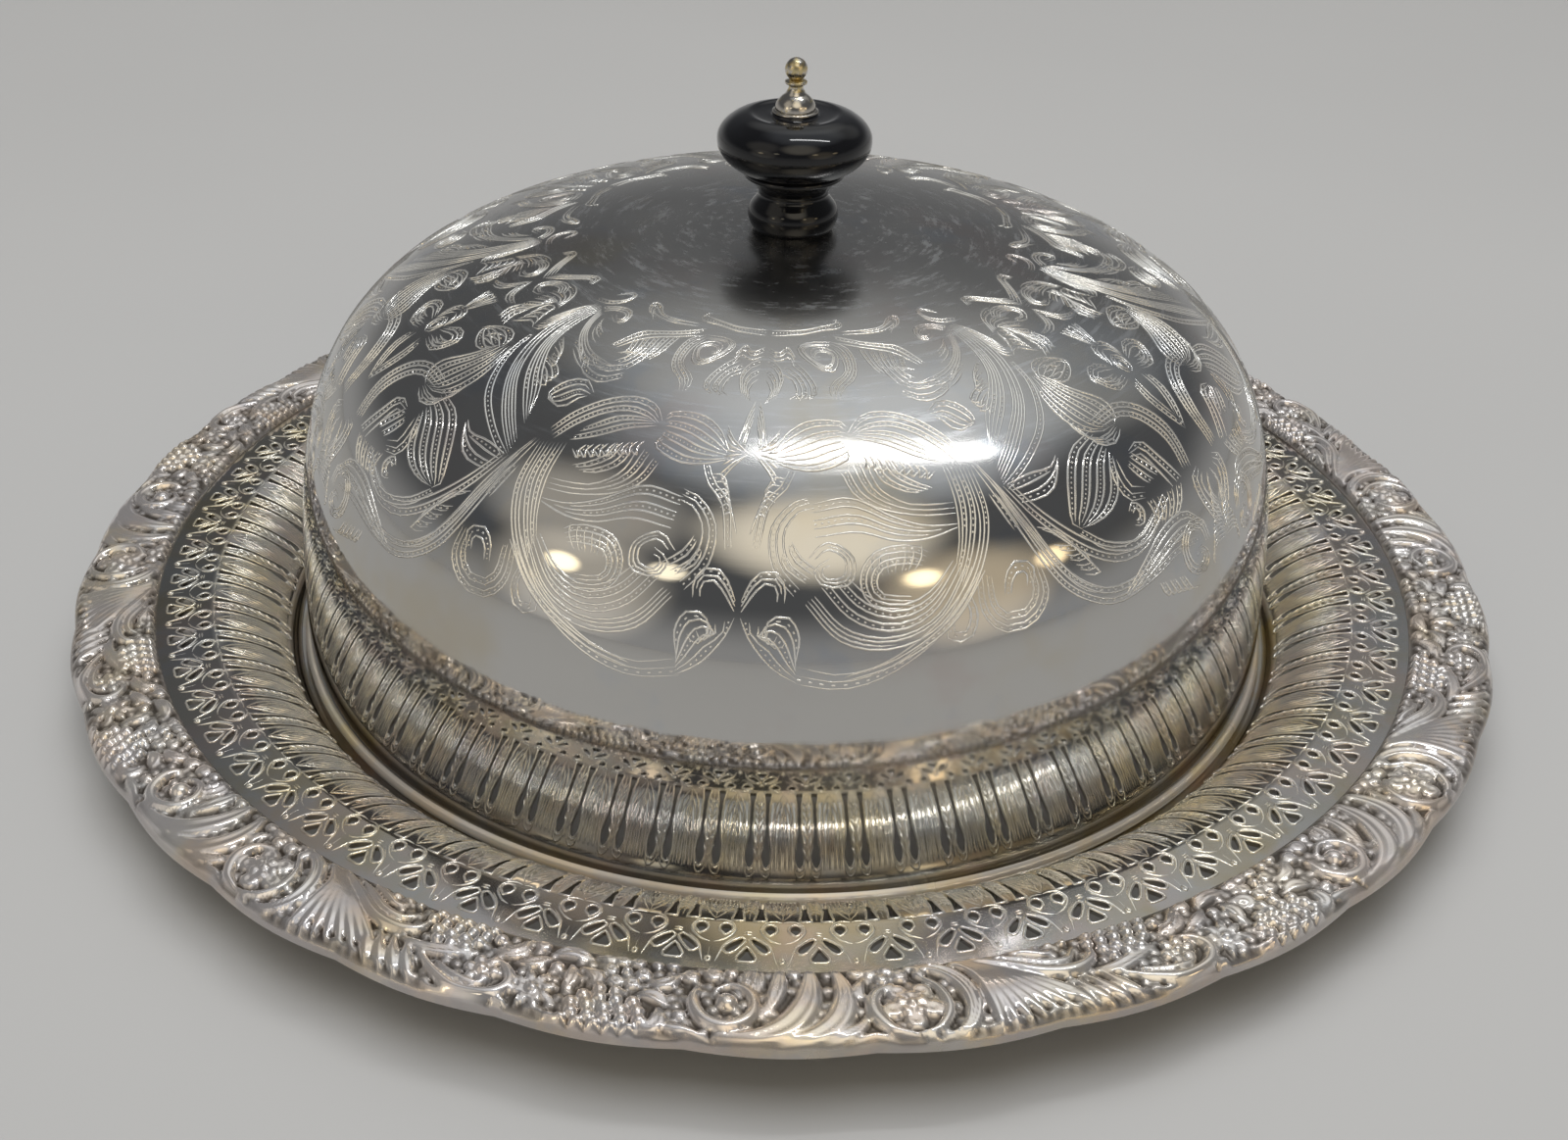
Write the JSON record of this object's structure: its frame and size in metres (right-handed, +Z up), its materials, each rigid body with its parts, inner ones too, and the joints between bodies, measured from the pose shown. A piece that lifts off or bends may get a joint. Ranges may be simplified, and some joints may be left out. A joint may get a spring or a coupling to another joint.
{
  "type": "covered serving tray",
  "caption": "Round silver-plated serving tray with a pierced gallery and relief border, and a domed cover with a black knob standing in its well.",
  "frame": {"origin": "on the table under the middle of the tray, on the axis that every turned piece shares", "axes": "+Z up along the axis of the tray, the cover and the knob; -Y towards the side that the picture shows"},
  "size_m": [0.4036, 0.4036, 0.1617],
  "materials": {
    "silver_plate": "polished silver plate on brass, lightly tarnished",
    "relief_silver": "silver plate on cast relief, darkened in its hollows",
    "black_knob": "polished black",
    "worn_plate": "silver plate worn through to brass",
    "bare_brass": "plain turned brass"
  },
  "bodies": {
    "root": {"tray": "silver_plate", "rim_border": "relief_silver", "cover": "silver_plate", "foot_wire": "silver_plate", "knob": "black_knob", "bell_cap": "worn_plate", "finial_bolt": "worn_plate", "seat_washer": "bare_brass", "hex_nut": "bare_brass"}
  },
  "joints": []
}
